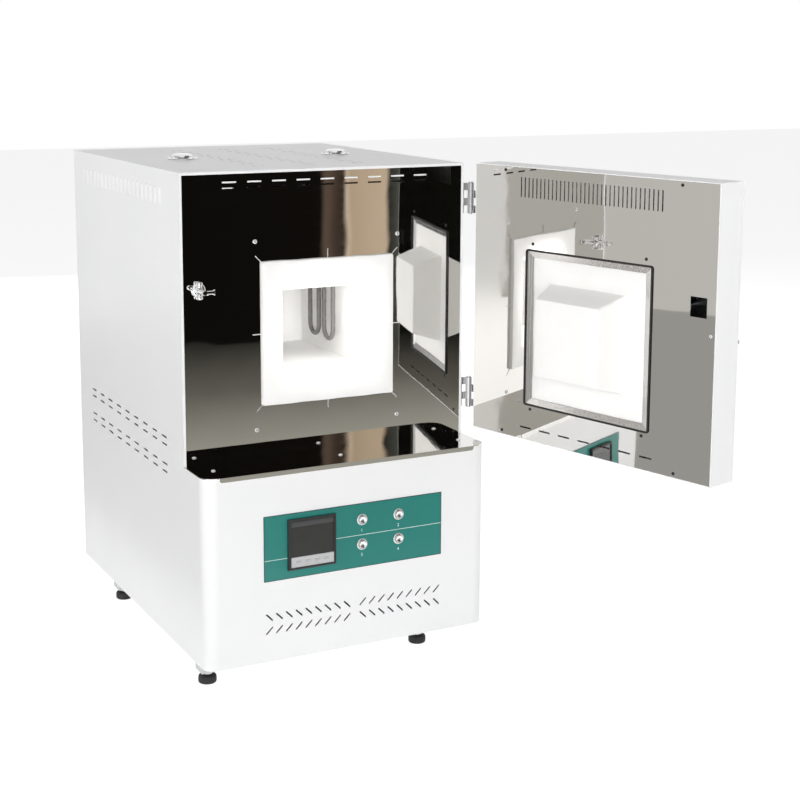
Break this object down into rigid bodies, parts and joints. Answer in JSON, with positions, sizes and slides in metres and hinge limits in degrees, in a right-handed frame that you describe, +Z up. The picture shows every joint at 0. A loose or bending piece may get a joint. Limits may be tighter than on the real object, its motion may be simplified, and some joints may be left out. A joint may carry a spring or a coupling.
{
  "type": "muffle furnace",
  "caption": "Bench muffle furnace with white cabinet, mirror steel front, fibre-lined square chamber and a right-hung insulated door standing open.",
  "frame": {"origin": "on the floor under the middle of the cabinet's width and depth", "axes": "+X to the right seen from the front, +Y from the front plate to the rear panel, +Z up"},
  "size_m": [0.8414, 1.2586, 0.9415],
  "materials": {
    "white_paint": "smooth gloss powder coat",
    "mirror_steel": "mirror-polished stainless steel",
    "sheet_steel": "plain rolled sheet",
    "bright_metal": "bright plated",
    "fibre_board": "matt vacuum-formed ceramic fibre",
    "element": "dark glazed silicide rod",
    "white_ceramic": "unglazed",
    "aluminium": "bare",
    "teal_panel": "satin printed panel",
    "black_plastic": "fine matt",
    "dark_window": "glossy tinted",
    "silver_plastic": "satin metallic",
    "foot_rubber": "matt",
    "gasket_cord": "woven",
    "black_steel": "blackened"
  },
  "bodies": {
    "cabinet": {"base_pan": "sheet_steel", "button_sleeves": "bright_metal", "cabinet_screws": "bright_metal", "cable_gland": "black_plastic", "control_cover": "white_paint", "control_shelf": "mirror_steel", "controller_case": "black_plastic", "controller_window": "dark_window", "deck": "sheet_steel", "element_holders": "white_ceramic", "faceplate": "teal_panel", "foot_brackets": "sheet_steel", "front_plate": "mirror_steel", "heating_elements": "element", "hinge_cabinet_leaves": "bright_metal", "hinge_pins": "bright_metal", "inner_shell": "sheet_steel", "insulation": "fibre_board", "key_strip": "silver_plastic", "left_side_panel": "white_paint", "lock_nuts": "bright_metal", "mouth_frame": "fibre_board", "muffle_lining": "fibre_board", "rear_panel": "white_paint", "right_side_panel": "white_paint", "shell_supports": "sheet_steel", "striker_base": "bright_metal", "striker_stem": "bright_metal", "terminal_clamps": "aluminium", "thermocouple": "white_ceramic", "top_cover": "white_paint", "vent_caps": "bright_metal", "vent_flanges": "bright_metal", "vent_screws": "bright_metal"},
    "door": {"corner_screw": "bright_metal", "door_block": "fibre_board", "door_gasket": "gasket_cord", "door_insulation": "fibre_board", "door_liner": "mirror_steel", "door_screws": "black_steel", "door_shell": "white_paint", "door_trim": "mirror_steel", "handle_rosette": "bright_metal", "hinge_door_leaves": "bright_metal", "latch_box": "black_steel", "latch_guide": "white_ceramic"},
    "handle": {"door_handle": "bright_metal", "latch_pawl": "sheet_steel"},
    "controller_key_1": {"controller_key_1": "silver_plastic"},
    "controller_key_2": {"controller_key_2": "silver_plastic"},
    "controller_key_3": {"controller_key_3": "silver_plastic"},
    "controller_key_4": {"controller_key_4": "silver_plastic"},
    "foot_left_back": {"foot_left_back": "foot_rubber"},
    "foot_left_front": {"foot_left_front": "foot_rubber"},
    "foot_right_back": {"foot_right_back": "foot_rubber"},
    "foot_right_front": {"foot_right_front": "foot_rubber"},
    "push_button_1": {"push_button_1": "bright_metal"},
    "push_button_2": {"push_button_2": "bright_metal"},
    "push_button_3": {"push_button_3": "bright_metal"},
    "push_button_4": {"push_button_4": "bright_metal"}
  },
  "joints": [
    {"name": "door_hinge", "type": "hinge", "parent": "cabinet", "child": "door", "pos_m": [0.304, -0.336, 0.67], "axis": [0, 0, 1], "range_deg": [-104.3, 75]},
    {"name": "handle_turn", "type": "hinge", "parent": "door", "child": "handle", "pos_m": [0.43059, -0.83262, 0.7145], "axis": [-0.969, -0.247, 0], "range_deg": [-35, 0]},
    {"name": "button_1_press", "type": "slide", "parent": "cabinet", "child": "push_button_1", "axis": [0, 1, 0], "range_m": [0, 0.002], "stiffness_N_per_m": 500, "springref_m": -0.002},
    {"name": "button_2_press", "type": "slide", "parent": "cabinet", "child": "push_button_2", "axis": [0, 1, 0], "range_m": [0, 0.002], "stiffness_N_per_m": 500, "springref_m": -0.002},
    {"name": "button_3_press", "type": "slide", "parent": "cabinet", "child": "push_button_3", "axis": [0, 1, 0], "range_m": [0, 0.002], "stiffness_N_per_m": 500, "springref_m": -0.002},
    {"name": "button_4_press", "type": "slide", "parent": "cabinet", "child": "push_button_4", "axis": [0, 1, 0], "range_m": [0, 0.002], "stiffness_N_per_m": 500, "springref_m": -0.002},
    {"name": "key_1_press", "type": "slide", "parent": "cabinet", "child": "controller_key_1", "axis": [0, 1, 0], "range_m": [0, 0.0005], "stiffness_N_per_m": 200, "springref_m": -0.0005},
    {"name": "key_2_press", "type": "slide", "parent": "cabinet", "child": "controller_key_2", "axis": [0, 1, 0], "range_m": [0, 0.0005], "stiffness_N_per_m": 200, "springref_m": -0.0005},
    {"name": "key_3_press", "type": "slide", "parent": "cabinet", "child": "controller_key_3", "axis": [0, 1, 0], "range_m": [0, 0.0005], "stiffness_N_per_m": 200, "springref_m": -0.0005},
    {"name": "key_4_press", "type": "slide", "parent": "cabinet", "child": "controller_key_4", "axis": [0, 1, 0], "range_m": [0, 0.0005], "stiffness_N_per_m": 200, "springref_m": -0.0005},
    {"name": "foot_left_front_screw", "type": "hinge", "parent": "cabinet", "child": "foot_left_front", "pos_m": [-0.272, -0.387, 0], "axis": [0, 0, 1], "continuous": true},
    {"name": "foot_left_back_screw", "type": "hinge", "parent": "cabinet", "child": "foot_left_back", "pos_m": [-0.272, 0.11, 0], "axis": [0, 0, 1], "continuous": true},
    {"name": "foot_right_front_screw", "type": "hinge", "parent": "cabinet", "child": "foot_right_front", "pos_m": [0.164, -0.387, 0], "axis": [0, 0, 1], "continuous": true},
    {"name": "foot_right_back_screw", "type": "hinge", "parent": "cabinet", "child": "foot_right_back", "pos_m": [0.164, 0.11, 0], "axis": [0, 0, 1], "continuous": true}
  ]
}
